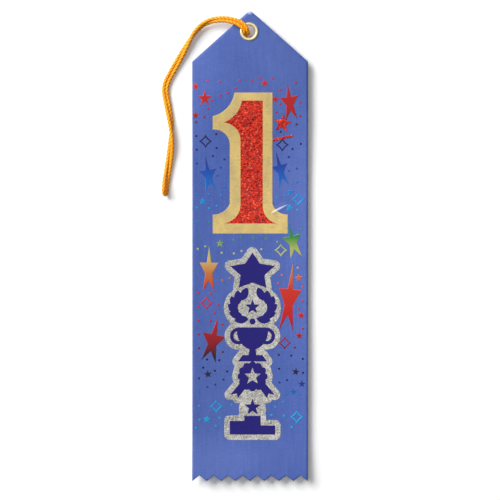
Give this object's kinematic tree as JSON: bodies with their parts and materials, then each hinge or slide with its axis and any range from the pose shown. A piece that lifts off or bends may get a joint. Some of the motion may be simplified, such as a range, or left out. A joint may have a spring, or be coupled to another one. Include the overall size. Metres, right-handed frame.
{
  "type": "award ribbon",
  "caption": "Blue satin award ribbon lying face up: folded peak with an eyelet and a gold cord loop, foil-stamped numeral and emblems, pinked lower edge.",
  "frame": {"origin": "middle of the ribbon's box in plan, on the surface that it lies on, the cord not counted", "axes": "+Y along the ribbon towards its peak, +X across it to the reader's right, +Z out of its printed face"},
  "size_m": [0.0642, 0.2064, 0.006],
  "materials": {
    "satin": "blue polyester satin",
    "glue": "clear hot-melt film",
    "eyelet_metal": "pale brass-plated steel, stamped",
    "cord": "twisted rayon cord",
    "gold_foil": "hot-stamped metallic foil",
    "red_glitter": "red glitter foil",
    "silver_foil": "sanded silver foil",
    "navy_foil": "dark blue foil",
    "rainbow_foil": "colour-shaded metallic foil"
  },
  "bodies": {
    "ribbon": {"ribbon_strip": "satin", "fold_glue_left": "glue", "fold_glue_right": "glue", "eyelet_barrel": "eyelet_metal", "eyelet_washer": "eyelet_metal", "gold_foil_border": "gold_foil", "red_glitter_numeral": "red_glitter", "red_glitter_mark": "red_glitter", "silver_foil_plate": "silver_foil", "navy_foil_star": "navy_foil", "navy_foil_laurel": "navy_foil", "navy_foil_cup": "navy_foil", "navy_foil_rosette": "navy_foil", "navy_foil_podium": "navy_foil", "rainbow_foil_star_1": "rainbow_foil", "rainbow_foil_star_2": "rainbow_foil", "rainbow_foil_star_3": "rainbow_foil", "rainbow_foil_star_4": "rainbow_foil", "rainbow_foil_star_5": "rainbow_foil", "rainbow_foil_star_6": "rainbow_foil", "rainbow_foil_star_7": "rainbow_foil", "rainbow_foil_star_8": "rainbow_foil", "rainbow_foil_small_stars": "rainbow_foil", "rainbow_foil_sparkles": "rainbow_foil", "rainbow_foil_dots": "rainbow_foil"},
    "cord_loop": {"hanging_cord": "cord", "cord_knot": "cord"}
  },
  "joints": [
    {"name": "cord_swing", "type": "hinge", "parent": "ribbon", "child": "cord_loop", "pos_m": [-0.0004, 0.0943, 0.0035], "axis": [0, 0, 1], "range_deg": [-150, 6]}
  ]
}
